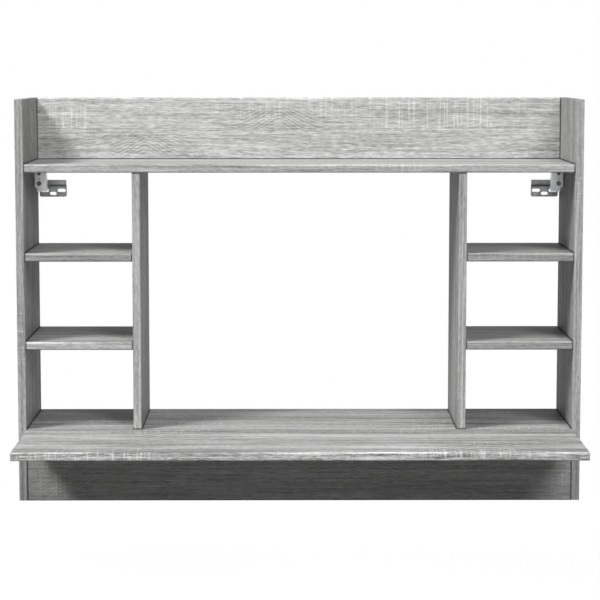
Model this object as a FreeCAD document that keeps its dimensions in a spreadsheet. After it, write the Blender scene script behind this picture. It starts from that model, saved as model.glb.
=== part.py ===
import FreeCAD, Part
import os
import re
import Sketcher

# Wall desk with a shelf hutch, hung on two adjustable hangers. Millimetres, front towards -Y, +Z up.
# The wall is the plane y = 0, and the origin lies midway between the two lower wall screw slots.

doc = FreeCAD.newDocument("wall_desk")
Vector = FreeCAD.Vector

SIZES = [
    # boards
    ("desk_width", "1050"),
    ("shelf_depth", "225"),
    ("desktop_depth", "450"),
    ("panel_thickness", "15"),
    ("apron_height", "120"),
    ("rail_height", "120"),
    ("row_height", "150"),
    ("side_bay_width", "200"),
    ("edge_round", "1"),
    # knock-down connectors
    ("front_inset", "40"),
    ("rear_inset", "80"),
    ("end_cam_rise", "40"),
    ("end_dowel_rise", "85"),
    ("dowel_spread", "500"),
    ("face_floor", "4"),
    ("cam_setback", "24"),
    ("cam_diameter", "15"),
    ("cam_floor", "2.5"),
    ("cam_recess", "6"),
    ("cam_blade", "1.4"),
    ("cam_recess_depth", "2.4"),
    ("bolt_thread", "6"),
    ("bolt_shank", "5"),
    ("bolt_head", "7"),
    ("bolt_head_length", "4"),
    ("bolt_bore", "8"),
    ("dowel_diameter", "8"),
    ("dowel_length", "30"),
    ("dowel_chamfer", "1"),
    # fits
    ("slide_gap", "0.3"),
    ("fit_gap", "0.1"),
    ("stop_gap", "0.4"),
    # wall plates
    ("hanger_drop", "52.5"),
    ("plate_inset", "29"),
    ("plate_width", "53"),
    ("plate_sheet", "2"),
    ("plate_foot", "6.5"),
    ("plate_flat", "21"),
    ("plate_joggle", "5.5"),
    ("plate_lip", "7"),
    ("lip_standoff", "6"),
    ("plate_corner", "4"),
    ("slot_spread", "33"),
    ("slot_rise", "6"),
    ("upper_slot_length", "16"),
    ("lower_slot_length", "13"),
    ("slot_width", "6.2"),
    # hanger housings
    ("housing_depth", "62"),
    ("housing_height", "37.5"),
    ("housing_top_gap", "0.5"),
    ("housing_sheet", "1.5"),
    ("housing_bend", "0.8"),
    ("housing_rear_gap", "3"),
    ("housing_clear", "3"),
    ("return_depth", "18"),
    ("tab_height", "7"),
    ("tab_inset", "5.5"),
    ("lip_width", "12.5"),
    ("lip_rear_gap", "15"),
    ("pilot_hole", "2.5"),
    ("access_hole", "6.5"),
    ("driver_hole", "7.5"),
    # hook mechanism
    ("height_travel", "5"),
    ("screw_line", "9"),
    ("height_screw_drop", "10"),
    ("guide_drop", "20"),
    ("depth_screw_drop", "29"),
    ("screw_diameter", "5"),
    ("screw_head", "9"),
    ("height_screw_head", "8"),
    ("screw_head_length", "2.2"),
    ("screw_recess", "4.6"),
    ("screw_blade", "1.2"),
    ("screw_recess_depth", "1.4"),
    ("collar_length", "1.5"),
    ("carriage_setback", "7.5"),
    ("carriage_front_wall", "6"),
    ("carriage_rear_wall", "5"),
    ("carriage_base", "2.5"),
    ("carriage_land", "2.2"),
    ("carriage_round", "1"),
    ("lift_nut_length", "6.4"),
    ("lift_nut_land", "4.5"),
    ("lift_pin", "4"),
    ("rivet_diameter", "4"),
    ("rivet_head", "7"),
    ("rivet_head_length", "1.2"),
    ("rivet_seat", "5"),
    ("hook_sheet", "3.5"),
    ("hook_nose", "0.7"),
    ("hook_half_height", "14"),
    ("hook_play", "0.3"),
    ("hook_neck", "9"),
    ("hook_crown", "10"),
    ("claw_reach", "5.5"),
    ("claw_wall_gap", "1.5"),
    ("hook_round", "1.2"),
    # housing screws
    ("fix_diameter", "3.5"),
    ("fix_head", "6.5"),
    ("fix_head_length", "2"),
    ("fix_tip", "3"),
    ("fix_rear_inset", "9"),
    ("fix_drop", "5.5"),
]

ALIASES = {alias for alias, value in SIZES}
WORD = re.compile(r"[a-z]+(?:_[a-z]+)*")

sheet = doc.addObject("Spreadsheet::Sheet", "Sizes")
for row, (alias, value) in enumerate(SIZES, start=1):
    sheet.set("A%d" % row, alias)
    sheet.set("B%d" % row, value)
    sheet.setAlias("B%d" % row, alias)
doc.recompute()


def in_sheet(text):
    """The expression with each size written as a cell of the sheet."""
    return WORD.sub(lambda found: "Sizes." + found[0] if found[0] in ALIASES else found[0], text)


def bind(thing, prop, text):
    """Tie a property to an expression in the names of the size sheet."""
    thing.setExpression(prop, in_sheet(text))


def amount(text):
    """The present value of an expression."""
    return float(sheet.evalExpression(in_sheet(text)))


# Shelf rows between the desktop and the top shelf, and the boards between them.
ROWS = 3
HALF = "(desk_width / 2)"
INNER = "(desk_width / 2 - panel_thickness)"
MID = "(panel_thickness / 2)"
STACK = f"({ROWS} * row_height + {ROWS - 1} * panel_thickness)"
SHELF_TOP = "(hanger_drop + panel_thickness)"
CROWN = f"({SHELF_TOP} + rail_height)"
DESK_TOP = f"(hanger_drop - {STACK})"
DESK_UNDER = f"({DESK_TOP} - panel_thickness)"
FOOT = f"({DESK_UNDER} - apron_height)"
BAY = f"({INNER} - side_bay_width)"
POST = f"({BAY} - panel_thickness)"

AXES = {
    "+x": Vector(1, 0, 0),
    "-x": Vector(-1, 0, 0),
    "+y": Vector(0, 1, 0),
    "-y": Vector(0, -1, 0),
    "+z": Vector(0, 0, 1),
    "-z": Vector(0, 0, -1),
}


def pointing(axis):
    """The turn that lays a piece's own +Z along an axis."""
    return FreeCAD.Rotation(AXES["+z"], AXES[axis])


def framed(across, axis):
    """The turn that lays a piece's own +X and +Z along two axes."""
    x_way = AXES[across]
    z_way = AXES[axis]
    return FreeCAD.Rotation(x_way, z_way.cross(x_way), z_way, "ZXY")


def place(thing, point, turn):
    """Put a piece at a point given in expressions."""
    thing.Placement = FreeCAD.Placement(Vector(0, 0, 0), turn)
    for letter, text in zip("xyz", point):
        bind(thing, "Placement.Base." + letter, text)
    return thing


def shift(point, axis, distance):
    """A point moved along an axis by an expression."""
    moved = list(point)
    index = "xyz".index(axis[1])
    moved[index] = f"({point[index]} {axis[0]} ({distance}))"
    return tuple(moved)


def outline(body, role, points, lift="0"):
    """A closed sketch of straight edges whose corners are bound to expressions."""
    sketch = body.newObject("Sketcher::SketchObject", "outline")
    plane = [item for item in body.Origin.OriginFeatures if item.Role == role][0]
    sketch.AttachmentSupport = (plane, [""])
    sketch.MapMode = "FlatFace"
    bind(sketch, "AttachmentOffset.Base.z", lift)
    corners = [Vector(amount(across), amount(up), 0) for across, up in points]
    for index, corner in enumerate(corners):
        sketch.addGeometry(Part.LineSegment(corner, corners[(index + 1) % len(corners)]), False)
    for index in range(len(corners)):
        following = (index + 1) % len(corners)
        sketch.addConstraint(Sketcher.Constraint("Coincident", index, 2, following, 1))
    for index, (across, up) in enumerate(points):
        for kind, text, value in (("DistanceX", across, corners[index].x), ("DistanceY", up, corners[index].y)):
            number = sketch.addConstraint(Sketcher.Constraint(kind, -1, 1, index, 1, value))
            name = kind[-1].lower() + "_%d" % index
            sketch.renameConstraint(number, name)
            bind(sketch, "Constraints." + name, text)
    return sketch


def rectangle(across, up):
    """The corners of a rectangle between two pairs of expressions."""
    return [(across[0], up[0]), (across[1], up[0]), (across[1], up[1]), (across[0], up[1])]


def padded(body, sketch, length):
    """A pad of a sketch along its normal."""
    pad = body.newObject("PartDesign::Pad", "pad")
    pad.Profile = sketch
    bind(pad, "Length", length)
    doc.recompute()
    return pad


def rounded(body, base, radius, chosen):
    """Rounded edges, chosen by their middle point and direction."""
    names = []
    for index, edge in enumerate(base.Shape.Edges, start=1):
        middle = edge.valueAt((edge.FirstParameter + edge.LastParameter) / 2)
        way = (edge.Vertexes[-1].Point - edge.Vertexes[0].Point).normalize()
        if chosen(middle, way):
            names.append("Edge%d" % index)
    feature = body.newObject("PartDesign::Fillet", "rounding")
    feature.Base = (base, names)
    bind(feature, "Radius", radius)
    doc.recompute()
    return feature


def turned(label, points):
    """A turned piece about its own Z axis, from its half section as radius and height."""
    body = doc.addObject("PartDesign::Body", label)
    sketch = outline(body, "XZ_Plane", points)
    spin = body.newObject("PartDesign::Revolution", "turning")
    spin.Profile = sketch
    spin.ReferenceAxis = (sketch, ["V_Axis"])
    spin.Angle = 360
    doc.recompute()
    return body


def rod(name, diameter, length, point, axis):
    """A round bar or bore from a point along an axis."""
    bar = doc.addObject("Part::Cylinder", name)
    bind(bar, "Radius", f"({diameter}) / 2")
    bind(bar, "Height", length)
    return place(bar, point, pointing(axis))


def cross(name, reach, blade, depth, point, axis):
    """A cross recess sunk along an axis."""
    arms = []
    for across, along in ((reach, blade), (blade, reach)):
        arm = doc.addObject("Part::Box", name + "_arm")
        bind(arm, "Length", across)
        bind(arm, "Width", along)
        bind(arm, "Height", depth)
        bind(arm, "Placement.Base.x", f"-({across}) / 2")
        bind(arm, "Placement.Base.y", f"-({along}) / 2")
        arms.append(arm)
    recess = fused(name, arms)
    return place(recess, point, pointing(axis))


def slot(name, length, width, depth, point, across, axis):
    """A round-ended slot cutter about a point, long along one axis and sunk along another."""
    body = doc.addObject("PartDesign::Body", name)
    sketch = outline(body, "XY_Plane", rectangle(
        (f"-({length}) / 2", f"({length}) / 2"), (f"-({width}) / 2", f"({width}) / 2")))
    pad = body.newObject("PartDesign::Pad", "pad")
    pad.Profile = sketch
    pad.Midplane = True
    bind(pad, "Length", depth)
    doc.recompute()
    rounded(body, pad, f"({width}) / 2 - fit_gap / 10", lambda middle, way: abs(way.z) > 0.9)
    return place(body, point, framed(across, axis))


def fused(name, members):
    """Several shapes made one."""
    whole = doc.addObject("Part::MultiFuse", name)
    whole.Shapes = members
    return whole


def cut(label, base, tools):
    """A base with the tools taken out of it."""
    tool = tools[0] if len(tools) == 1 else fused(label + "_tools", tools)
    piece = doc.addObject("Part::Cut", label)
    piece.Base = base
    piece.Tool = tool
    return piece


def mirrored(label, source):
    """The right-hand piece of a left-hand one."""
    twin = doc.addObject("Part::Mirroring", label)
    twin.Source = source
    twin.Normal = AXES["+x"]
    twin.Base = Vector(0, 0, 0)
    return twin


def grouped(label, members):
    """Separate solids kept as one group."""
    group = doc.addObject("Part::Compound", label)
    group.Links = members
    return group


def copied(master, point, turn):
    """One more of a repeated piece."""
    link = doc.addObject("App::Link", master.Name + "_copy")
    link.LinkedObject = master
    return place(link, point, turn)


def board(label, xs, ys, zs):
    """An edge-banded board between three pairs of expressions, with softened arrises."""
    body = doc.addObject("PartDesign::Body", label + "_board")
    pad = padded(body, outline(body, "XY_Plane", rectangle(xs, ys), zs[0]), f"({zs[1]}) - ({zs[0]})")
    rounded(body, pad, "edge_round", lambda middle, way: True)
    return body


SPAN = (f"-{INNER}", INNER)
DEPTH = ("-shelf_depth", "0")
BAY_SPAN = (f"-{INNER}", f"-{BAY}")

boards = {
    "left_side_panel": board("left_side_panel", (f"-{HALF}", f"-{INNER}"), DEPTH, (FOOT, CROWN)),
    "left_divider": board("left_divider", (f"-{BAY}", f"-{POST}"), DEPTH, (DESK_TOP, "hanger_drop")),
    "top_shelf": board("top_shelf", SPAN, DEPTH, ("hanger_drop", SHELF_TOP)),
    "back_rail": board("back_rail", SPAN, ("-panel_thickness", "0"), (SHELF_TOP, CROWN)),
    "desktop": board("desktop", SPAN, ("-desktop_depth", "0"), (DESK_UNDER, DESK_TOP)),
    "apron": board("apron", SPAN, ("-shelf_depth", "-shelf_depth + panel_thickness"), (FOOT, DESK_UNDER)),
}
shelf_levels = {}
for row, name in enumerate(("lower_left_shelf", "upper_left_shelf"), start=1):
    level = f"({DESK_TOP} + {row} * row_height + {row - 1} * panel_thickness)"
    shelf_levels[name] = f"({level} + {MID})"
    boards[name] = board(name, BAY_SPAN, DEPTH, (level, f"{level} + panel_thickness"))

# Connectors of the left half: a dowel or a cam joins the end of one board to the face of another.
SEAT = "(panel_thickness - face_floor)"
bores = {name: [] for name in boards}
cam_places = []
bolt_places = []
dowel_places = []


def dowel_joint(end_board, face_board, point, axis):
    """A dowel from the end of one board into the face of the next."""
    back = {"+": "-", "-": "+"}[axis[0]] + axis[1]
    bore = "dowel_diameter + 2 * fit_gap"
    bores[face_board].append(rod("dowel_seat", bore, SEAT, point, axis))
    bores[end_board].append(rod("dowel_bore", bore, f"dowel_length - {SEAT} + stop_gap", point, back))
    dowel_places.append((point, axis))


def cam_joint(end_board, face_board, point, axis, mouth):
    """A bolt in the face of one board, drawn by a cam let into the next beside its end."""
    back = {"+": "-", "-": "+"}[axis[0]] + axis[1]
    sunk = {"+": "-", "-": "+"}[mouth[0]] + mouth[1]
    centre = shift(point, back, "cam_setback")
    rim = shift(centre, mouth, MID)
    bores[face_board].append(rod("bolt_seat", "bolt_thread + 2 * fit_gap", SEAT, point, axis))
    bores[end_board].append(rod("bolt_bore", "bolt_bore", "cam_setback", point, back))
    pocket = rod("cam_pocket", "cam_diameter + 2 * fit_gap", "panel_thickness - cam_floor", rim, sunk)
    bores[end_board].append(pocket)
    bolt_places.append((point, axis))
    cam_places.append((rim, axis, mouth))


FRONT_ROW = "(-shelf_depth + front_inset)"
REAR_ROW = "(-rear_inset)"
MIDDLE_ROW = "((front_inset - shelf_depth - rear_inset) / 2)"
END = f"-{INNER}"

for name, level in (("top_shelf", f"(hanger_drop + {MID})"), ("desktop", f"({DESK_TOP} - {MID})")):
    for reach in (FRONT_ROW, REAR_ROW):
        cam_joint(name, "left_side_panel", (END, reach, level), "-x", "-z")
    dowel_joint(name, "left_side_panel", (END, MIDDLE_ROW, level), "-x")
for name, level in shelf_levels.items():
    for face_board, end, axis in (("left_side_panel", END, "-x"), ("left_divider", f"-{BAY}", "+x")):
        cam_joint(name, face_board, (end, REAR_ROW, level), axis, "-z")
        dowel_joint(name, face_board, (end, FRONT_ROW, level), axis)
POST_MID = f"(-{BAY} + {MID})"
for face_board, level, axis in (("top_shelf", "hanger_drop", "+z"), ("desktop", DESK_TOP, "-z")):
    cam_joint("left_divider", face_board, (POST_MID, REAR_ROW, level), axis, "-x")
    dowel_joint("left_divider", face_board, (POST_MID, FRONT_ROW, level), axis)
for name, reach, level in (("back_rail", f"-{MID}", SHELF_TOP), ("apron", f"(-shelf_depth + {MID})", FOOT)):
    cam_joint(name, "left_side_panel", (END, reach, f"({level} + end_cam_rise)"), "-x", "+y")
    dowel_joint(name, "left_side_panel", (END, reach, f"({level} + end_dowel_rise)"), "-x")
dowel_joint("back_rail", "top_shelf", ("-dowel_spread / 2", f"-{MID}", SHELF_TOP), "-z")
dowel_joint("apron", "desktop", ("-dowel_spread / 2", f"(-shelf_depth + {MID})", DESK_UNDER), "+z")

# The cam: a die-cast drum with a screwdriver cross, a pocket for the bolt's head and a slot for its neck.
CAM_HEIGHT = "(panel_thickness - cam_floor - slide_gap)"
drum = rod("cam_drum", "cam_diameter", CAM_HEIGHT, ("0", "0", "0"), "-z")
claw = rod("cam_claw", "bolt_head + 4 * fit_gap", "bolt_head_length + 2 * stop_gap + cam_floor",
           ("-cam_floor", "0", f"-{MID}"), "+x")
throat = rod("cam_throat", "bolt_shank + 4 * fit_gap", "cam_diameter", ("0", "0", f"-{MID}"), "+x")
drive = cross("cam_drive", "cam_recess", "cam_blade", "cam_recess_depth", ("0", "0", "0"), "-z")
cam = cut("cam_lock", drum, [claw, throat, drive])

# The bolt: thread in the face, shank in the bore, head in the cam.
NECK = "(cam_setback - bolt_head_length + stop_gap)"
bolt = turned("cam_bolt", [
    ("0", SEAT),
    ("bolt_thread / 2 - stop_gap", SEAT),
    ("bolt_thread / 2", f"{SEAT} - stop_gap"),
    ("bolt_thread / 2", "0"),
    ("bolt_shank / 2", "0"),
    ("bolt_shank / 2", f"-{NECK}"),
    ("bolt_head / 2", f"-{NECK}"),
    ("bolt_head / 2", f"-{NECK} - bolt_head_length + 2 * stop_gap"),
    ("bolt_head / 2 - 2 * stop_gap", f"-{NECK} - bolt_head_length"),
    ("0", f"-{NECK} - bolt_head_length"),
])
DOWEL_END = f"({SEAT} - fit_gap)"
dowel = turned("dowel", [
    ("0", DOWEL_END),
    ("dowel_diameter / 2 - dowel_chamfer", DOWEL_END),
    ("dowel_diameter / 2", f"{DOWEL_END} - dowel_chamfer"),
    ("dowel_diameter / 2", f"{DOWEL_END} - dowel_length + dowel_chamfer"),
    ("dowel_diameter / 2 - dowel_chamfer", f"{DOWEL_END} - dowel_length"),
    ("0", f"{DOWEL_END} - dowel_length"),
])


def both_halves(label, members):
    """The left half's copies and their mirror images in one group."""
    left = grouped(label + "_left", members)
    return grouped(label, [left, mirrored(label + "_right", left)])


cam_locks = both_halves("cam_locks", [copied(cam, rim, framed(axis, mouth)) for rim, axis, mouth in cam_places])
cam_bolts = both_halves("cam_bolts", [copied(bolt, point, pointing(axis)) for point, axis in bolt_places])
dowels = both_halves("dowels", [copied(dowel, point, pointing(axis)) for point, axis in dowel_places])


def from_side(text):
    """A distance from the left side panel's inner face."""
    return f"(-{INNER} + {text})"


# Levels and lines of the left hanger.
TOP_Z = "(hanger_drop - housing_top_gap)"
HEIGHT_Z = f"({TOP_Z} - height_screw_drop)"
GUIDE_Z = f"({TOP_Z} - guide_drop)"
DEPTH_Z = f"({TOP_Z} - depth_screw_drop)"
SIDE_Z = f"({TOP_Z} - housing_height)"
TAB_Z = f"({SIDE_Z} - tab_height)"
FACE_Y = "(-housing_depth)"
BACK_Y = "(-housing_depth + housing_sheet)"
BLOCK_Y = f"({BACK_Y} + carriage_setback)"
ROOM_Y = f"({BLOCK_Y} + carriage_front_wall)"
ROOM = "(lift_nut_length + 2 * height_travel + collar_length + 3 * stop_gap)"
TAIL_Y = f"({ROOM_Y} + {ROOM})"
BLOCK_END = f"({TAIL_Y} + carriage_rear_wall)"
NUT_Y = f"({ROOM_Y} + collar_length + 2 * stop_gap + height_travel + lift_nut_length / 2)"
GUIDES_Y = (f"({BLOCK_Y} + carriage_front_wall / 2)", f"({TAIL_Y} + carriage_rear_wall / 2)")
BASE_U = "(housing_sheet + slide_gap)"
FLOOR_U = f"({BASE_U} + carriage_base)"
WALL_U = "(screw_line + screw_diameter / 2 + carriage_land)"
HOOK_U = f"({WALL_U} + slide_gap)"
RIVET_U = f"({HOOK_U} + hook_sheet + slide_gap)"
WIDTH_U = f"({RIVET_U} + rivet_head_length + housing_clear + housing_sheet)"
SCREW_X = from_side("screw_line")
SCREW_BORE = "screw_diameter + 2 * fit_gap"
FIX_BORE = "fix_diameter + 2 * fit_gap"
FIX_FRONT = (f"({BACK_Y} + carriage_setback / 2)", GUIDE_Z)
FIX_REAR = ("-fix_rear_inset", f"({TOP_Z} - fix_drop)")

# Housing: sheet folded round the mechanism, with a long leg on the side panel, a short return,
# guide lips above and below the carriage, and a tab below the face.
housing_body = doc.addObject("PartDesign::Body", "left_housing_sheet")
channel = padded(housing_body, outline(housing_body, "XY_Plane", [
    (from_side("0"), "-housing_rear_gap"),
    (from_side("0"), FACE_Y),
    (from_side(WIDTH_U), FACE_Y),
    (from_side(WIDTH_U), f"{FACE_Y} + return_depth"),
    (from_side(f"{WIDTH_U} - housing_sheet"), f"{FACE_Y} + return_depth"),
    (from_side(f"{WIDTH_U} - housing_sheet"), BACK_Y),
    (from_side("housing_sheet"), BACK_Y),
    (from_side("housing_sheet"), "-housing_rear_gap"),
], TAB_Z), f"{TOP_Z} - {TAB_Z}")
FACE = amount(FACE_Y)
channel = rounded(housing_body, channel, "housing_bend", lambda middle, way: (
    abs(way.z) > 0.9 and abs(middle.y - FACE) < 0.01))
for level in (f"{TOP_Z} - housing_sheet", SIDE_Z):
    lip = outline(housing_body, "XY_Plane", rectangle(
        (from_side("0"), from_side("lip_width")), (BACK_Y, "-lip_rear_gap")), level)
    channel = padded(housing_body, lip, "housing_sheet")
notch = outline(housing_body, "XZ_Plane", rectangle(
    (from_side("-housing_sheet"), from_side("tab_inset")), (f"{TAB_Z} - housing_sheet", SIDE_Z)))
step = housing_body.newObject("PartDesign::Pocket", "step")
step.Profile = notch
step.Type = "ThroughAll"
step.Midplane = True
doc.recompute()

bore_sheet = "3 * housing_sheet"
housing_bores = []
for name, diameter, level in (
        ("depth_bore", SCREW_BORE, DEPTH_Z),
        ("pilot", "pilot_hole", GUIDE_Z),
        ("access", "access_hole", HEIGHT_Z)):
    housing_bores.append(rod(name, diameter, bore_sheet, (SCREW_X, f"{FACE_Y} - housing_sheet", level), "+y"))
for reach, level in (FIX_FRONT, FIX_REAR):
    housing_bores.append(rod("fix_bore", FIX_BORE, bore_sheet, (from_side("-housing_sheet"), reach, level), "+x"))
driver_point = (from_side(f"{WIDTH_U} - 2 * housing_sheet"),) + FIX_FRONT
housing_bores.append(rod("driver_bore", "driver_hole", bore_sheet, driver_point, "+x"))
left_housing = cut("left_hanger_housing", housing_body, housing_bores)

# Carriage: a cast channel that slides in the housing, open towards the hook.
carriage_body = doc.addObject("PartDesign::Body", "left_carriage_block")
block = padded(carriage_body, outline(carriage_body, "XY_Plane", [
    (from_side(BASE_U), BLOCK_END),
    (from_side(BASE_U), BLOCK_Y),
    (from_side(WALL_U), BLOCK_Y),
    (from_side(WALL_U), ROOM_Y),
    (from_side(FLOOR_U), ROOM_Y),
    (from_side(FLOOR_U), TAIL_Y),
    (from_side(WALL_U), TAIL_Y),
    (from_side(WALL_U), BLOCK_END),
], f"{SIDE_Z} + housing_sheet + slide_gap"), "housing_height - 2 * housing_sheet - 2 * slide_gap")
BASE_X = amount(from_side(BASE_U))
rounded(carriage_body, block, "carriage_round", lambda middle, way: (
    abs(way.z) > 0.9 and abs(middle.x - BASE_X) < 0.01))
carriage_bores = [
    rod("depth_thread", SCREW_BORE, "carriage_front_wall", (SCREW_X, BLOCK_Y, DEPTH_Z), "+y"),
    rod("height_bearing", SCREW_BORE, f"{BLOCK_END} - {BLOCK_Y}", (SCREW_X, BLOCK_Y, HEIGHT_Z), "+y"),
]
for reach in GUIDES_Y:
    carriage_bores.append(rod("rivet_bore", "rivet_diameter + 2 * fit_gap", "rivet_seat + stop_gap",
                              (from_side(WALL_U), reach, GUIDE_Z), "-x"))
left_carriage = cut("left_carriage", carriage_body, carriage_bores)

# Shoulder rivets that keep the hook upright on the carriage.
rivet = turned("guide_rivet", [
    ("0", "-rivet_seat"),
    ("rivet_diameter / 2", "-rivet_seat"),
    ("rivet_diameter / 2", f"{RIVET_U} - {WALL_U}"),
    ("rivet_head / 2", f"{RIVET_U} - {WALL_U}"),
    ("rivet_head / 2", f"{RIVET_U} - {WALL_U} + rivet_head_length / 2"),
    ("rivet_head / 2 - rivet_head_length / 2", f"{RIVET_U} - {WALL_U} + rivet_head_length"),
    ("0", f"{RIVET_U} - {WALL_U} + rivet_head_length"),
])
left_rivets = grouped("left_guide_rivets", [
    copied(rivet, (from_side(WALL_U), reach, GUIDE_Z), pointing("+x")) for reach in GUIDES_Y])

# Wall plate: a pressed strip, flat on the wall below and standing off as a lip above.
LIP_Z = "(plate_flat - plate_foot + plate_joggle)"
LIP_TOP = f"({LIP_Z} + plate_lip)"
FLAT_Z = "(plate_flat - plate_foot)"
# Each bend's front corner lies lower than its back one by the sheet times the tangent of half the bend.
SLANT = "atan(lip_standoff / plate_joggle)"
DROP = f"(plate_sheet * tan({SLANT} / 2))"
plate_body = doc.addObject("PartDesign::Body", "left_plate_strip")
strip = padded(plate_body, outline(plate_body, "YZ_Plane", [
    ("0", "-plate_foot"),
    ("0", FLAT_Z),
    ("-lip_standoff", LIP_Z),
    ("-lip_standoff", LIP_TOP),
    ("-lip_standoff - plate_sheet", LIP_TOP),
    ("-lip_standoff - plate_sheet", f"{LIP_Z} - {DROP}"),
    ("-plate_sheet", f"{FLAT_Z} - {DROP}"),
    ("-plate_sheet", "-plate_foot"),
], from_side("plate_inset - plate_width / 2")), "plate_width")
PLATE_FOOT = amount("-plate_foot")
rounded(plate_body, strip, "plate_corner", lambda middle, way: (
    abs(way.y) > 0.9 and abs(middle.z - PLATE_FOOT) < 0.01))
plate_slots = [slot("lower_slot", "lower_slot_length", "slot_width", "4 * plate_sheet",
                    (from_side("plate_inset"), "0", "0"), "+x", "-y")]
for sign in ("-", "+"):
    across = from_side(f"plate_inset {sign} slot_spread / 2")
    plate_slots.append(slot("upper_slot", "upper_slot_length", "slot_width", "4 * plate_sheet",
                            (across, "0", "slot_rise"), "+x", "-y"))
left_plate = cut("left_wall_plate", plate_body, plate_slots)

# Hook: a flat steel claw that hangs over the lip, guided by two upright slots on the rivets.
# The slanted slot takes the lift nut's pin: it falls towards the wall by as much as it runs.
NOSE_Y = f"({BLOCK_Y} - hook_nose)"
LIP_FRONT = "(-lip_standoff - plate_sheet - hook_play)"
LIP_BACK = "(-lip_standoff + hook_play)"
hook_body = doc.addObject("PartDesign::Body", "left_hook_blade")
blade = padded(hook_body, outline(hook_body, "YZ_Plane", [
    (NOSE_Y, f"{GUIDE_Z} - hook_half_height"),
    (BLOCK_END, f"{GUIDE_Z} - hook_half_height"),
    (LIP_FRONT, f"{LIP_TOP} - hook_neck"),
    (LIP_FRONT, LIP_TOP),
    (LIP_BACK, LIP_TOP),
    (LIP_BACK, f"{LIP_TOP} - claw_reach"),
    ("-claw_wall_gap", f"{LIP_TOP} - claw_reach"),
    ("-claw_wall_gap", f"{LIP_TOP} + hook_crown"),
    (BLOCK_END, f"{GUIDE_Z} + hook_half_height"),
    (NOSE_Y, f"{GUIDE_Z} + hook_half_height"),
], from_side(HOOK_U)), "hook_sheet")
NOTCH_TOP = amount(LIP_TOP)
NOTCH_FRONT = amount(LIP_FRONT)
rounded(hook_body, blade, "hook_round", lambda middle, way: (
    abs(way.x) > 0.9 and not (abs(middle.z - NOTCH_TOP) < 0.01)
    and not (abs(middle.y - NOTCH_FRONT) < 0.01)))
hook_slots = []
HOOK_MID = from_side(f"{HOOK_U} + hook_sheet / 2")
for reach in GUIDES_Y:
    hook_slots.append(slot("guide_slot", "2 * height_travel + rivet_diameter + 2 * fit_gap",
                           "rivet_diameter + 2 * fit_gap", "2 * hook_sheet", (HOOK_MID, reach, GUIDE_Z), "+z", "+x"))
ramp = slot("ramp_slot", "2 * sqrt(2) * height_travel + lift_pin + 2 * fit_gap", "lift_pin + 2 * fit_gap",
            "2 * hook_sheet", (HOOK_MID, NUT_Y, GUIDE_Z), "+z", "+x")
ramp.Placement.Rotation = FreeCAD.Rotation(AXES["+x"], 45) * ramp.Placement.Rotation
hook_slots.append(ramp)
left_hook = cut("left_hook", hook_body, hook_slots)

# Lift nut: a block on the height screw, with the pin that works in the slanted slot.
nut_body = doc.addObject("PartDesign::Body", "left_nut_block")
nut_block = padded(nut_body, outline(nut_body, "XZ_Plane", rectangle(
    (from_side(f"{FLOOR_U} + slide_gap"), from_side(f"{WALL_U} - slide_gap")),
    (f"{GUIDE_Z} - lift_nut_land", f"{HEIGHT_Z} + screw_diameter / 2 + carriage_land")),
    f"-({NUT_Y}) - lift_nut_length / 2"), "lift_nut_length")
NUT_MIDDLE = amount(HEIGHT_Z)
rounded(nut_body, nut_block, "carriage_round", lambda middle, way: (
    abs(way.y) > 0.9 and middle.z > NUT_MIDDLE))
nut_pin = rod("lift_pin_rod", "lift_pin", f"{HOOK_U} + hook_sheet - {WALL_U} + 2 * slide_gap",
              (from_side(f"{WALL_U} - 2 * slide_gap"), NUT_Y, GUIDE_Z), "+x")
nut_thread = rod("lift_thread", SCREW_BORE, "2 * lift_nut_length", (SCREW_X, f"{NUT_Y} - lift_nut_length", HEIGHT_Z),
                 "+y")
left_lift_nut = cut("left_lift_nut", fused("left_nut_with_pin", [nut_body, nut_pin]), [nut_thread])


def adjusting_screw(label, head, length, collar_at, point):
    """A cross-headed screw along +Y from the seat of its head, with a swaged collar that keeps it captive."""
    reach = f"({collar_at} + collar_length)"
    shaft = turned(label + "_shaft", [
        ("0", "-screw_head_length"),
        (f"({head}) / 2 - stop_gap", "-screw_head_length"),
        (f"({head}) / 2", "-screw_head_length + stop_gap"),
        (f"({head}) / 2", "0"),
        ("screw_diameter / 2", "0"),
        ("screw_diameter / 2", collar_at),
        (f"({head}) / 2 - stop_gap", collar_at),
        (f"({head}) / 2 - stop_gap", reach),
        ("screw_diameter / 2", reach),
        ("screw_diameter / 2", f"{length} - stop_gap"),
        ("screw_diameter / 2 - stop_gap", length),
        ("0", length),
    ])
    recess = cross(label + "_drive", "screw_recess", "screw_blade", "screw_recess_depth",
                   ("0", "0", "-screw_head_length"), "+z")
    return place(cut(label, shaft, [recess]), point, pointing("+y"))


left_depth_screw = adjusting_screw(
    "left_depth_screw", "screw_head", f"({TAIL_Y} - {FACE_Y} - stop_gap)", "(housing_sheet + fit_gap)",
    (SCREW_X, FACE_Y, DEPTH_Z))
left_height_screw = adjusting_screw(
    "left_height_screw", "height_screw_head", f"({BLOCK_END} - {BLOCK_Y})", "(carriage_front_wall + fit_gap)",
    (SCREW_X, BLOCK_Y, HEIGHT_Z))

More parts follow.
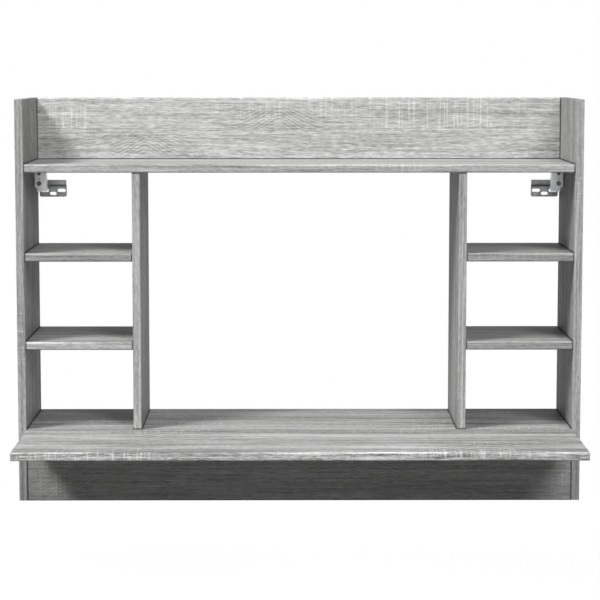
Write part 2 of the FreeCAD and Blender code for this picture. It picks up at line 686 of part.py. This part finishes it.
# Pan-head screws that hold the housings on the side panels.
FIX_REACH = f"(housing_sheet + {SEAT})"
fix = turned("housing_screw", [
    ("0", "fix_head_length"),
    ("fix_head / 2 - fix_head_length / 2", "fix_head_length"),
    ("fix_head / 2", "fix_head_length / 2"),
    ("fix_head / 2", "0"),
    ("fix_diameter / 2", "0"),
    ("fix_diameter / 2", f"-{FIX_REACH} + fix_tip"),
    ("0", f"-{FIX_REACH}"),
])
fix_places = [(from_side("housing_sheet"),) + spot for spot in (FIX_FRONT, FIX_REAR)]
housing_screws = both_halves("housing_screws", [copied(fix, point, pointing("+x")) for point in fix_places])
for spot in (FIX_FRONT, FIX_REAR):
    bores["left_side_panel"].append(rod("fix_seat", FIX_BORE, SEAT, (END,) + spot, "-x"))

# Drilled boards: those that span the desk are drilled in both halves, the others have a mirrored twin.
nodes = [cam_locks, cam_bolts, dowels, housing_screws]
for name, blank in boards.items():
    if name.split("_")[0] in ("top", "back", "desktop", "apron"):
        left_tools = fused(name + "_bores", bores[name])
        half_drilled = cut(name + "_half", blank, [left_tools])
        nodes.append(cut(name, half_drilled, [mirrored(name + "_far_bores", left_tools)]))
    else:
        drilled = cut(name, blank, bores[name])
        nodes.append(drilled)
        nodes.append(mirrored(name.replace("left", "right"), drilled))
for piece in (left_housing, left_carriage, left_rivets, left_plate, left_hook, left_lift_nut, left_depth_screw,
              left_height_screw):
    nodes.append(piece)
    nodes.append(mirrored(piece.Label.replace("left", "right"), piece))

doc.recompute()

failed = [item.Label for item in doc.Objects if "Invalid" in item.State or "Error" in item.State]
if failed:
    raise RuntimeError("failed: " + ", ".join(failed))
for node in nodes:
    if node.Shape.isNull() or not node.Shape.isValid() or not node.Shape.Solids:
        raise RuntimeError("bad shape: " + node.Label)

os.makedirs("parts", exist_ok=True)
for node in nodes:
    node.Shape.exportStep("parts/" + node.Label + ".step")
    print(node.Label, len(node.Shape.Solids), round(node.Shape.Volume))
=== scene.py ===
import math
from collections import namedtuple

import bpy
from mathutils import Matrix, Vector


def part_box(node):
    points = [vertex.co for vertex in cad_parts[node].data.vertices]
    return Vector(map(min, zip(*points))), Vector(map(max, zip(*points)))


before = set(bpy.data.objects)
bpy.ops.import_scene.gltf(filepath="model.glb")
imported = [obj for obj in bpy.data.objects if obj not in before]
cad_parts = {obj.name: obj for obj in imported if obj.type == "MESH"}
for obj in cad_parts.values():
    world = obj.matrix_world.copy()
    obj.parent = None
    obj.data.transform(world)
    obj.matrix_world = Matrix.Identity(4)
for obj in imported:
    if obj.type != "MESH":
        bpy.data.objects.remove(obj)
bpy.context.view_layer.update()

X, Y, Z = range(3)

# Each board's grain axis, and how pale its print is on most faces and on those that look to the front:
# painted light and shade, set board by board, with the front faces painted paler because the lamps stand
# high
Board = namedtuple("Board", "grain tone front_tone")
BOARDS = {
    "left_side_panel": Board(Z, 0.99, 1.32),
    "right_side_panel": Board(Z, 0.97, 1.38),
    "left_divider": Board(Z, 0.78, 1.43),
    "right_divider": Board(Z, 0.78, 1.42),
    "top_shelf": Board(X, 1.16, 1.50),
    "back_rail": Board(X, 1.10, 1.66),
    "desktop": Board(X, 1.03, 1.78),
    "apron": Board(X, 1.05, 1.27),
    "lower_left_shelf": Board(X, 0.98, 1.90),
    "lower_right_shelf": Board(X, 0.96, 1.22),
    "upper_left_shelf": Board(X, 0.95, 1.20),
    "upper_right_shelf": Board(X, 0.92, 1.10),
}
STANDING = ("back_rail", "apron")
# Boards whose figure is fainter or stronger than the rest
CONTRAST = {"apron": 0.62, "back_rail": 0.80, "desktop": 1.70}
# Each board takes another stretch of the print
FIRST_SEED = 1.0
SEED_STEP = 3.7
SEED_SHIFT = {"desktop": 1.1}

# Tones of the print, linear, from the darkest pore to the palest saw mark, each at its level
PRINT = [
    (0.08, (0.150, 0.149, 0.147)),
    (0.33, (0.285, 0.284, 0.281)),
    (0.52, (0.400, 0.399, 0.395)),
    (0.70, (0.500, 0.499, 0.495)),
    (0.95, (0.640, 0.639, 0.635)),
]
# A layer of noise: repeats per metre along and across the grain, offset, detail and roughness
Layer = namedtuple("Layer", "scale offset detail roughness")
BANDS = Layer((1.2, 21.0, 21.0), (0.0, 5.0, 0.4), 2.0, 0.55)
STREAKS = Layer((4.0, 240.0, 240.0), (0.0, 0.0, 3.0), 4.0, 0.62)
DASHES = Layer((56.0, 520.0, 520.0), (0.0, 4.0, 7.0), 2.0, 0.60)
FIBRES = Layer((95.0, 760.0, 760.0), (0.0, 2.0, 1.0), 3.0, 0.65)
SWAY = Layer((1.9, 5.0, 5.0), (0.0, 1.3, 2.1), 2.0, 0.40)
SAW_LINES = Layer((240.0, 9.0, 9.0), (0.0, 1.0, 6.0), 3.0, 0.65)
SAW_PATCHES = Layer((2.7, 14.0, 14.0), (0.0, 7.0, 2.0), 2.0, 0.50)
WAVER = Layer((22.0, 60.0, 60.0), (2.0, 6.0, 1.0), 2.0, 0.50)
PLATING = Layer((85.0, 85.0, 85.0), (1.0, 2.0, 3.0), 3.0, 0.60)
WOOD_FIBRE = Layer((600.0, 600.0, 60.0), (0.0, 3.0, 1.0), 3.0, 0.60)

# Middle of every noise and of the print's level, and how much each part of the figure moves that level
MIDDLE = 0.5
BANDS_WEIGHT = 0.55
STREAKS_WEIGHT = 1.15
DASHES_WEIGHT = 1.10
FIBRES_WEIGHT = 0.90
STAVE_WEIGHT = 0.16
JOINT_WEIGHT = 0.20
FLAME_WEIGHT = 0.20
SAW_WEIGHT = 0.26

# How far the print wanders across the grain at most, in metres, in its two directions
SWAY_ACROSS = (0.032, 0.024)
# Staves: their width and where one starts, in metres, on standing boards counted from the foot
STANDING_STAVES = (0.0605, -0.0003)
DESKTOP_STAVES = (0.048, -0.032)
OTHER_STAVES = (0.060, -0.005)
# The print jumps by this much from stave to stave; the line between two is given in widths of a stave
STAVE_HOP = (0.613, 0.271, 0.171)
JOINT_LINE = (0.006, 0.022)
# Saw marks: the levels between which lines and patches come up in their noises, the strength of a patch
# that comes by chance, and how pale a patch is between its lines
SAW_LINE_LEVELS = (0.52, 0.66)
SAW_PATCH_LEVELS = (0.54, 0.68)
CHANCE_PATCH = 0.6
SAW_GROUND = 0.06
# Flame figure: arches, in metres, wider on the broad boards
ARCH_SPREAD = 0.020
ARCH_FALL = 0.013
ARCH_PITCH = 0.0066
ARCH_PEAK = 0.8
ARCH_WAVER = 5.0
ARCH_LINE = (0.0, 0.9)
WIDE_FIGURE = {"desktop": 3.0, "top_shelf": 3.0}

# A face looks a way from the first of these parts of its normal on, and fully from the second
FACING = (0.5, 0.9)
END_FACING = 0.7
# How much calmer the figure is on front edge bands and lying faces
CALM = 0.65

# Painted shade on lines where boards meet and along lower front arrises, painted highlight along front top
# arrises: their widths in metres, and how dark or pale they are
CONTACT_SHADE_WIDTH = 0.0034
ARRIS = 0.0036
UNDERSIDE = 0.0030
FADE = 0.0020
OVERREACH = 0.004
TOUCHING = 0.001
EDGE_BAND = 0.003
SEAM_SHADE = 0.30
UNDERSIDE_SHADE = 0.52
# Painted highlight on the front top arris: the streak levels between which it comes up, and how much paler
# it makes the print
GLINT_LEVELS = (0.35, 0.60)
GLINT = (0.24, 0.50)
# Share of a box of marks or flames in which these are at full strength
ZONE_CORE = 0.4

# Boards are duller in dark streaks; bump is a strength and a depth in metres
STREAK_LEVELS = (0.2, 0.8)
BOARD_ROUGH = (0.66, 0.52)
BOARD_SPECULAR = 0.12
BOARD_BUMP = (0.22, 0.0006)

# Where saw marks and flame figure are plain to see: (centre, half size)
MARKS = {
    "back_rail": [((0.270, -0.017, 0.155), (0.190, 0.012, 0.040)),
                  ((-0.445, -0.017, 0.146), (0.060, 0.012, 0.034))],
    "desktop": [((-0.350, -0.450, -0.435), (0.140, 0.012, 0.012)),
                ((0.290, -0.440, -0.430), (0.150, 0.030, 0.010))],
    "apron": [((-0.470, -0.225, -0.520), (0.060, 0.02, 0.060)),
              ((0.490, -0.225, -0.530), (0.040, 0.02, 0.050))],
    "left_side_panel": [((-0.518, -0.225, -0.250), (0.010, 0.02, 0.070))],
}
FLAMES = {
    "back_rail": [((-0.039, -0.008, 0.146), (0.120, 0.02, 0.026)),
                  ((-0.300, -0.008, 0.094), (0.100, 0.02, 0.026))],
    "desktop": [((0.335, -0.400, -0.428), (0.150, 0.060, 0.01)),
                ((-0.200, -0.300, -0.428), (0.150, 0.045, 0.01))],
    "top_shelf": [((-0.260, -0.130, 0.068), (0.150, 0.045, 0.01))],
    "apron": [((0.100, -0.218, -0.500), (0.130, 0.02, 0.036)),
              ((-0.438, -0.218, -0.532), (0.075, 0.02, 0.034))],
    "left_side_panel": [((-0.518, -0.120, -0.250), (0.02, 0.040, 0.140))],
    "right_side_panel": [((0.518, -0.090, -0.120), (0.02, 0.040, 0.140))],
    "left_divider": [((-0.302, -0.100, -0.300), (0.02, 0.040, 0.120))],
    "right_divider": [((0.302, -0.140, -0.150), (0.02, 0.040, 0.120))],
}

# Metals: colour, roughness, the layer of fine grain, and how cloudy the plating is
Metal = namedtuple("Metal", "colour rough grain spread")
ROLLED = Layer((300.0, 300.0, 1200.0), (4.0, 0.0, 2.0), 3.0, 0.60)
TURNED = Layer((900.0, 900.0, 900.0), (4.0, 0.0, 2.0), 3.0, 0.60)
CAST = Layer((700.0, 700.0, 700.0), (4.0, 0.0, 2.0), 3.0, 0.60)
METALS = {
    "zinc_plated_sheet": Metal((0.42, 0.43, 0.44), 0.42, ROLLED, 0.25),
    # Painted light: the housing sits in the top shelf's shade and takes a zinc about twice as pale as the
    # sheet's so that it shows bright
    "zinc_housing_painted_bright": Metal((0.86, 0.87, 0.88), 0.34, ROLLED, 0.08),
    "zinc_plated_screw": Metal((0.40, 0.41, 0.42), 0.36, TURNED, 0.25),
    # Painted shade: the height and depth screws sit recessed in the housing and are given a dark colour
    # where the recess is in shade
    "screw_painted_dark": Metal((0.230, 0.230, 0.232), 0.48, TURNED, 0.25),
    "cast_zinc": Metal((0.34, 0.345, 0.35), 0.52, CAST, 0.25),
}
PLATING_SHARE = 0.6
GRAIN_SHARE = 0.4
PLATING_LEVELS = (0.30, 0.50, 0.72)
DULL_LEVELS = (0.3, 0.7)
DULLER = 0.10
BRIGHTER = 0.08
METAL_BUMP = (0.12, 0.0002)
# Which metal each piece of a hanger takes, and each set of fasteners
HANGER = {
    "hanger_housing": "zinc_housing_painted_bright",
    "wall_plate": "zinc_plated_sheet",
    "hook": "zinc_plated_sheet",
    "guide_rivets": "zinc_plated_screw",
    "lift_nut": "zinc_plated_screw",
    "height_screw": "screw_painted_dark",
    "depth_screw": "screw_painted_dark",
    "carriage": "cast_zinc",
}
FASTENERS = {
    "housing_screws": "zinc_plated_screw",
    "cam_bolts": "zinc_plated_screw",
    "cam_locks": "cast_zinc",
}

WOOD_TONES = [(0.25, (0.50, 0.33, 0.19)), (0.75, (0.68, 0.50, 0.31))]
WOOD_ROUGH = 0.6
WOOD_BUMP = (0.2, 0.0003)

# The camera looks down and a little to the right, in degrees
CAMERA_PLACE = (-0.0194, -3.9179, 0.2515)
CAMERA_DOWN = 5.696
CAMERA_RIGHT = 0.315

# Lamps: azimuth in degrees from straight in front to the right, elevation, distance and size in metres,
# power in watts
LAMPS = {
    "key": (-61.0, 50.0, 8.0, 1.8, 392.0),
    "key_low": (-52.0, 43.0, 8.0, 1.8, 190.0),
    "front_low": (26.0, 31.0, 8.0, 1.8, 150.0),
    "front_high": (22.0, 48.0, 8.0, 1.8, 115.0),
    "right": (64.0, 66.0, 8.0, 1.8, 60.0),
    "rear_left": (-140.0, -8.0, 6.0, 1.0, 15.0),
    "rear_right": (140.0, -8.0, 6.0, 1.0, 15.0),
}
AIM = Vector((0.0, -0.2, -0.2))

WHITE = (1.0, 1.0, 1.0, 1.0)
# How strongly the world lights the desk; what the camera sees of it is white
WORLD_LIGHT = 0.03

# The floor lies at a desk's usual height below the desktop, and fades to white around it
FLOOR = -1.1775
FLOOR_HALF = 14.0
FLOOR_FADE = (1.2, 3.0)
FLOOR_TONES = [(0.0, (0.32, 0.32, 0.32)), (1.0, (0.0, 0.0, 0.0))]
FLOOR_GLOW = (0.80, 1.0)


class Graph:
    """The node tree of a material or a world, built one node at a time."""

    def __init__(self, block):
        block.use_nodes = True
        self.block = block
        self.tree = block.node_tree
        self.tree.nodes.clear()

    def add(self, kind, sockets=None, **settings):
        node = self.tree.nodes.new(kind)
        for name, value in settings.items():
            setattr(node, name, value)
        for key, value in (sockets or {}).items():
            socket = node.inputs[key]
            if isinstance(value, bpy.types.NodeSocket):
                self.tree.links.new(value, socket)
            else:
                socket.default_value = value
        return node

    def math(self, operation, first, second=0.0):
        return self.add("ShaderNodeMath", {0: first, 1: second}, operation=operation).outputs[0]

    def largest(self, first, second, third):
        return self.math("MAXIMUM", self.math("MAXIMUM", first, second), third)

    def vector(self, operation, *inputs):
        sockets = dict(enumerate(inputs))
        return self.add("ShaderNodeVectorMath", sockets, operation=operation).outputs[0]

    def scaled(self, vector, factor):
        sockets = {0: vector, "Scale": factor}
        return self.add("ShaderNodeVectorMath", sockets, operation="SCALE").outputs[0]

    def split(self, vector):
        return self.add("ShaderNodeSeparateXYZ", {"Vector": vector}).outputs

    def joined(self, x, y, z):
        return self.add("ShaderNodeCombineXYZ", {"X": x, "Y": y, "Z": z}).outputs[0]

    def span(self, value, levels, results=(0.0, 1.0)):
        """Leads the value smoothly from the first result to the second between the two levels."""
        sockets = {"Value": value, "From Min": levels[0], "From Max": levels[1],
                   "To Min": results[0], "To Max": results[1]}
        node = self.add("ShaderNodeMapRange", sockets, interpolation_type="SMOOTHSTEP")
        return node.outputs["Result"]

    def noise(self, place, layer, seed=0.0):
        x, y, z = layer.offset
        sockets = {"Vector": place, "Scale": layer.scale, "Location": (x + seed, y, z)}
        laid = self.add("ShaderNodeMapping", sockets).outputs["Vector"]
        sockets = {"Vector": laid, "Scale": 1.0, "Detail": layer.detail, "Roughness": layer.roughness,
                   "Distortion": 0.0}
        return self.add("ShaderNodeTexNoise", sockets, noise_dimensions="3D").outputs["Fac"]

    def swing(self, value, share):
        """How far the value is from its middle, times the share."""
        return self.math("MULTIPLY", self.math("SUBTRACT", value, MIDDLE), share)

    def ramp(self, value, stops):
        node = self.add("ShaderNodeValToRGB", {"Fac": value})
        elements = node.color_ramp.elements
        while len(elements) < len(stops):
            elements.new(0.5)
        for element, (place, colour) in zip(elements, stops):
            element.position = place
            element.color = (*colour, 1.0)
        return node.outputs["Color"]

    def seen(self):
        """1 for rays that show the background: the camera's, and those off metal and through glass."""
        rays = self.add("ShaderNodeLightPath").outputs
        return self.largest(rays["Is Glossy Ray"], rays["Is Transmission Ray"], rays["Is Camera Ray"])

    def surface(self, sockets, height, bump):
        """Ends the tree in one shader, bumped by the height."""
        strength, distance = bump
        bent = self.add("ShaderNodeBump", {"Height": height, "Strength": strength, "Distance": distance})
        sockets = dict(sockets, Normal=bent.outputs["Normal"])
        shader = self.add("ShaderNodeBsdfPrincipled", sockets)
        self.add("ShaderNodeOutputMaterial", {"Surface": shader.outputs["BSDF"]})
        return self.block


def material_graph(name):
    return Graph(bpy.data.materials.new(name))


def zone(graph, place, boxes):
    """1 in the core of any of the boxes, fading to 0 at their walls.

    Boxes are given as (centre, half size) in metres.
    """
    total = 0.0
    for centre, half in boxes:
        share = graph.vector("DIVIDE", graph.vector("SUBTRACT", place, centre), half)
        far = graph.largest(*graph.split(graph.vector("ABSOLUTE", share)))
        total = graph.math("MAXIMUM", graph.span(far, (ZONE_CORE, 1.0), (1.0, 0.0)), total)
    return total


def near(graph, place, boxes):
    """1 inside any of the boxes, fading to 0 over the last FADE; boxes as for zone."""
    total = 0.0
    for centre, half in boxes:
        reach = graph.vector("ABSOLUTE", graph.vector("SUBTRACT", place, centre))
        over = graph.largest(*graph.split(graph.vector("SUBTRACT", reach, half)))
        total = graph.math("MAXIMUM", graph.span(over, (-FADE, 0.0), (1.0, 0.0)), total)
    return total


def middle_and_half(low, high):
    return (low + high) / 2, (high - low) / 2


def front_line(board, height, thickness):
    """A thin box along a lying board's front edge at the height."""
    low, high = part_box(board)
    middle, half = middle_and_half(low[X], high[X])
    return [((middle, low[Y], height), (half + OVERREACH, thickness, thickness))]


def arrises(board):
    """The front top arris of a lying board and of the rail, where a highlight is painted."""
    if BOARDS[board].grain == Z or board == "apron":
        return []
    return front_line(board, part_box(board)[1][Z], ARRIS)


def undersides(board):
    """The front lower arris of a board that lies, or stands with its foot free, where shade is painted."""
    if BOARDS[board].grain == Z or board == "back_rail":
        return []
    return front_line(board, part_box(board)[0][Z], UNDERSIDE)


def staves(board):
    """Which of the turned axes the staves follow one another on, their width and where one starts."""
    if board in STANDING:
        width, start = STANDING_STAVES
        return Z, width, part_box(board)[0][Z] + start
    if board == "desktop":
        return Y, *DESKTOP_STAVES
    return {X: Y, Z: Z}[BOARDS[board].grain], *OTHER_STAVES


def line_along_depth(x, z, front, rear):
    """A thin box from front to rear."""
    middle, half = middle_and_half(front, rear)
    return (x, middle, z), (CONTACT_SHADE_WIDTH, half, CONTACT_SHADE_WIDTH)


def painted_contact_shade(board):
    """Thin boxes of painted shade where a board meets another: at its ends, and along the boards that stand
    or end on it.
    """
    low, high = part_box(board)
    grain = BOARDS[board].grain
    pairs = [middle_and_half(a, b) for a, b in zip(low, high)]
    middle = [pair[0] for pair in pairs]
    half = [pair[1] + OVERREACH for pair in pairs]
    boxes = []
    if board == "desktop":
        # Its ends are free in front of the sides, and the dividers stand on it
        middle[Y], half[Y] = middle_and_half(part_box("apron")[0][Y], high[Y])
        for divider in ("left_divider", "right_divider"):
            foot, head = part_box(divider)
            for face in (foot[X], head[X]):
                boxes.append(line_along_depth(face, high[Z], foot[Y], head[Y]))
    if "side_panel" not in board:
        for end in (low[grain], high[grain]):
            centre = list(middle)
            reach = list(half)
            centre[grain] = end
            reach[grain] = CONTACT_SHADE_WIDTH
            boxes.append((tuple(centre), tuple(reach)))
    if board == "back_rail":
        boxes.append(((middle[X], middle[Y], low[Z]), (half[X], half[Y], CONTACT_SHADE_WIDTH)))
    if grain == Z:
        # The painted shade lines of the shelves' tops on an upright, short of its front edge band
        for shelf in BOARDS:
            foot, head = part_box(shelf)
            for face, met in ((low[X], head[X]), (high[X], foot[X])):
                lies = BOARDS[shelf].grain == X and shelf not in STANDING
                if lies and abs(face - met) < TOUCHING:
                    boxes.append(line_along_depth(face, head[Z], low[Y] + EDGE_BAND, high[Y]))
    return boxes


def flames(graph, place, grain, board):
    """Dark lines of flame figure: arches that peak in each box and open towards its lower or front side."""
    parts = graph.split(place)
    along = BOARDS[board].grain
    across = Z if board in STANDING else Y
    stretch = WIDE_FIGURE.get(board, 1.0)
    waver = graph.math("MULTIPLY", graph.noise(grain, WAVER), ARCH_WAVER)
    total = 0.0
    for centre, half in FLAMES.get(board, []):
        run = graph.math("SUBTRACT", parts[along], centre[along])
        run = graph.math("DIVIDE", run, ARCH_SPREAD * stretch)
        fall = graph.math("ADD", graph.math("MULTIPLY", run, run), 1.0)
        fall = graph.math("MULTIPLY", graph.math("LOGARITHM", fall, math.e), ARCH_FALL * stretch)
        peak = centre[across] + ARCH_PEAK * half[across]
        height = graph.math("ADD", graph.math("SUBTRACT", parts[across], peak), fall)
        phase = graph.math("MULTIPLY", height, 2 * math.pi / (ARCH_PITCH * stretch))
        wave = graph.math("SINE", graph.math("ADD", phase, waver))
        arch = graph.math("MULTIPLY", graph.span(wave, ARCH_LINE), zone(graph, place, [(centre, half)]))
        total = graph.math("MAXIMUM", arch, total)
    return total


def saw_marks(graph, place, turned, board, seed):
    """Pale lines across the grain, in patches."""
    lines = graph.span(graph.noise(turned, SAW_LINES, seed), SAW_LINE_LEVELS)
    chance = graph.span(graph.noise(turned, SAW_PATCHES, seed), SAW_PATCH_LEVELS, (0.0, CHANCE_PATCH))
    patch = graph.math("MAXIMUM", chance, zone(graph, place, MARKS.get(board, [])))
    return graph.math("MULTIPLY", graph.math("ADD", lines, SAW_GROUND), patch)


def board_grain(board, seed):
    """Grey oak print; the seed shifts it on the board."""
    grain_axis, tone, painted_front_light = BOARDS[board]
    graph = material_graph("grey_oak_" + board)
    coordinates = graph.add("ShaderNodeTexCoord").outputs
    place = coordinates["Object"]
    parts = graph.split(place)
    facing = graph.split(coordinates["Normal"])
    to_front = graph.math("MULTIPLY", facing[Y], -1.0)

    # The grain runs along the board, and across it on its ends
    lengthwise = graph.joined(*(parts[axis] for axis in {X: (X, Y, Z), Z: (Z, X, Y)}[grain_axis]))
    endwise = graph.joined(parts[Y], parts[X], parts[Z])
    is_end = graph.math("GREATER_THAN", graph.math("ABSOLUTE", facing[grain_axis]), END_FACING)
    sockets = {"Factor": is_end, 4: lengthwise, 5: endwise}
    turned = graph.add("ShaderNodeMix", sockets, data_type="VECTOR").outputs[1]

    # The print is laid out in staves, each with its own stretch of the figure and its own tone
    stave_axis, width, start = staves(board)
    row = graph.math("SUBTRACT", graph.split(turned)[stave_axis], start)
    row = graph.math("DIVIDE", row, width)
    stave = graph.math("FLOOR", row)
    inside = graph.math("SUBTRACT", row, stave)
    to_joint = graph.math("MINIMUM", inside, graph.math("SUBTRACT", 1.0, inside))
    joint = graph.span(to_joint, JOINT_LINE, (1.0, 0.0))
    turned = graph.vector("ADD", turned, graph.scaled(STAVE_HOP, stave))
    sockets = {"W": graph.math("ADD", stave, seed)}
    stave_tone = graph.add("ShaderNodeTexWhiteNoise", sockets, noise_dimensions="1D").outputs["Value"]

    # It wanders a little across the grain
    sway = graph.noise(turned, SWAY, seed)
    shift = graph.joined(0.0, *(graph.math("MULTIPLY", sway, share) for share in SWAY_ACROSS))
    grain = graph.vector("ADD", turned, shift)
    bands, streaks, dashes, fibres = (graph.noise(grain, layer, seed)
                                      for layer in (BANDS, STREAKS, DASHES, FIBRES))

    # Edge bands and lying faces carry straight lines and hardly any flecks
    if board not in STANDING:
        calm = graph.math("SUBTRACT", 1.0, graph.math("MULTIPLY", graph.span(to_front, FACING), CALM))
        bands = graph.math("ADD", graph.swing(bands, calm), MIDDLE)
        calm = graph.math("SUBTRACT", calm, graph.span(facing[Z], FACING, (0.0, CALM)))
        dashes = graph.math("ADD", graph.swing(dashes, calm), MIDDLE)

    contrast = CONTRAST.get(board, 1.0)
    level = graph.math("SUBTRACT", MIDDLE, graph.math("MULTIPLY", joint, JOINT_WEIGHT * contrast))
    for part, weight in ((bands, BANDS_WEIGHT), (streaks, STREAKS_WEIGHT), (dashes, DASHES_WEIGHT),
                         (fibres, FIBRES_WEIGHT), (stave_tone, STAVE_WEIGHT)):
        level = graph.math("ADD", graph.swing(part, weight * contrast), level)
    flame = flames(graph, place, grain, board)
    level = graph.math("SUBTRACT", level, graph.math("MULTIPLY", flame, FLAME_WEIGHT * contrast))
    saw = saw_marks(graph, place, turned, board, seed)
    level = graph.math("ADD", level, graph.math("MULTIPLY", saw, SAW_WEIGHT * contrast))

    # Painted highlight along the front arris; painted shade where the board meets its neighbours and along
    # its lower front arris
    # Painted light: the board's tone, raised on faces that look to the front
    shade = graph.span(to_front, FACING, (tone, painted_front_light))
    glint = graph.span(streaks, GLINT_LEVELS, GLINT)
    glint = graph.math("MULTIPLY", near(graph, place, arrises(board)), glint)
    shade = graph.math("MULTIPLY", shade, graph.math("ADD", glint, 1.0))
    for boxes, darkest in ((painted_contact_shade(board), SEAM_SHADE), (undersides(board), UNDERSIDE_SHADE)):
        line = graph.span(near(graph, place, boxes), (0.0, 1.0), (1.0, darkest))
        shade = graph.math("MULTIPLY", shade, line)
    colour = graph.scaled(graph.ramp(level, PRINT), shade)
    rough = graph.span(streaks, STREAK_LEVELS, BOARD_ROUGH)
    sockets = {"Base Color": colour, "Roughness": rough, "Specular IOR Level": BOARD_SPECULAR}
    return graph.surface(sockets, level, BOARD_BUMP)


def plated(name, metal):
    """Zinc-plated or cast metal: cloudy plating over a fine rolled or cast grain."""
    graph = material_graph(name)
    place = graph.add("ShaderNodeTexCoord").outputs["Object"]
    cloud = graph.noise(place, PLATING)
    fine = graph.noise(place, metal.grain)
    mixed = graph.math("ADD", graph.math("MULTIPLY", cloud, PLATING_SHARE),
                       graph.math("MULTIPLY", fine, GRAIN_SHARE))
    shares = (1.0 - metal.spread, 1.0, 1.0 + metal.spread)
    tones = [tuple(part * share for part in metal.colour) for share in shares]
    tint = graph.ramp(mixed, list(zip(PLATING_LEVELS, tones)))
    dull = graph.span(mixed, DULL_LEVELS, (metal.rough + DULLER, metal.rough - BRIGHTER))
    return graph.surface({"Base Color": tint, "Roughness": dull, "Metallic": 1.0}, fine, METAL_BUMP)


def plain_wood(name):
    graph = material_graph(name)
    fibre = graph.noise(graph.add("ShaderNodeTexCoord").outputs["Object"], WOOD_FIBRE)
    tint = graph.ramp(fibre, WOOD_TONES)
    return graph.surface({"Base Color": tint, "Roughness": WOOD_ROUGH}, fibre, WOOD_BUMP)


def dress(node, material):
    """The mesh keeps its faces; each of its slots takes the one material."""
    for slot in bpy.data.objects[node].material_slots:
        slot.link = "OBJECT"
        slot.material = material


def softbox(name, azimuth, elevation, distance, size, power):
    """Square lamp facing the desk."""
    data = bpy.data.lights.new(name, "AREA")
    data.shape = "SQUARE"
    data.size = size
    data.energy = power
    lamp = bpy.data.objects.new(name, data)
    turn = math.radians(azimuth)
    lift = math.radians(elevation)
    towards = Vector((math.sin(turn) * math.cos(lift), -math.cos(turn) * math.cos(lift), math.sin(lift)))
    lamp.location = AIM + towards * distance
    lamp.rotation_euler = towards.to_track_quat("Z", "Y").to_euler()
    lamp.visible_camera = False
    scene.collection.objects.link(lamp)


def white_world(name):
    """White to the camera and in reflections, and a weak light on the desk."""
    graph = Graph(bpy.data.worlds.new(name))
    dim, white = (graph.add("ShaderNodeBackground", {"Color": WHITE, "Strength": strength}).outputs[0]
                  for strength in (WORLD_LIGHT, 1.0))
    blend = graph.add("ShaderNodeMixShader", {"Fac": graph.seen(), 1: dim, 2: white})
    graph.add("ShaderNodeOutputWorld", {"Surface": blend.outputs[0]})
    return graph.block


def pale_floor(name):
    """Takes the desk's shadow, fades to white around it, and is clear when seen from below."""
    graph = material_graph(name)
    spot = graph.add("ShaderNodeTexCoord").outputs["Object"]
    sockets = {0: spot, 1: (0.0, 0.0, FLOOR)}
    away = graph.add("ShaderNodeVectorMath", sockets, operation="DISTANCE").outputs["Value"]
    fade = graph.span(away, FLOOR_FADE)
    shader = graph.add("ShaderNodeBsdfDiffuse", {"Color": graph.ramp(fade, FLOOR_TONES)})
    strength = graph.math("MULTIPLY", graph.seen(), graph.span(fade, (0.0, 1.0), FLOOR_GLOW))
    glow = graph.add("ShaderNodeEmission", {"Strength": strength})
    both = graph.add("ShaderNodeAddShader", {0: shader.outputs[0], 1: glow.outputs[0]})
    clear = graph.add("ShaderNodeBsdfTransparent")
    from_below = graph.add("ShaderNodeNewGeometry").outputs["Backfacing"]
    sided = graph.add("ShaderNodeMixShader", {"Fac": from_below, 1: both.outputs[0], 2: clear.outputs[0]})
    graph.add("ShaderNodeOutputMaterial", {"Surface": sided.outputs[0]})
    return graph.block


for count, board in enumerate(BOARDS):
    dress(board, board_grain(board, SEED_STEP * count + FIRST_SEED + SEED_SHIFT.get(board, 0.0)))
metals = {name: plated(name, metal) for name, metal in METALS.items()}
for side in ("left_", "right_"):
    for piece, metal in HANGER.items():
        dress(side + piece, metals[metal])
for piece, metal in FASTENERS.items():
    dress(piece, metals[metal])
dress("dowels", plain_wood("beech"))

scene = bpy.context.scene
scene.view_settings.view_transform = "Standard"

camera_data = bpy.data.cameras.new("camera")
camera_data.sensor_width = 36.0
camera_data.lens = 120.10
camera_data.shift_y = -0.06
camera = bpy.data.objects.new("camera", camera_data)
camera.location = CAMERA_PLACE
camera.rotation_euler = (math.radians(90.0 - CAMERA_DOWN), 0.0, math.radians(-CAMERA_RIGHT))
scene.collection.objects.link(camera)
scene.camera = camera

scene.world = white_world("studio")

floor_mesh = bpy.data.meshes.new("floor")
corners = [(x * FLOOR_HALF, y * FLOOR_HALF, FLOOR) for x, y in ((-1, -1), (1, -1), (1, 1), (-1, 1))]
floor_mesh.from_pydata(corners, [], [(0, 1, 2, 3)])
floor_mesh.materials.append(pale_floor("pale_floor"))
floor = bpy.data.objects.new("floor", floor_mesh)
scene.collection.objects.link(floor)

for name, settings in LAMPS.items():
    softbox(name, *settings)
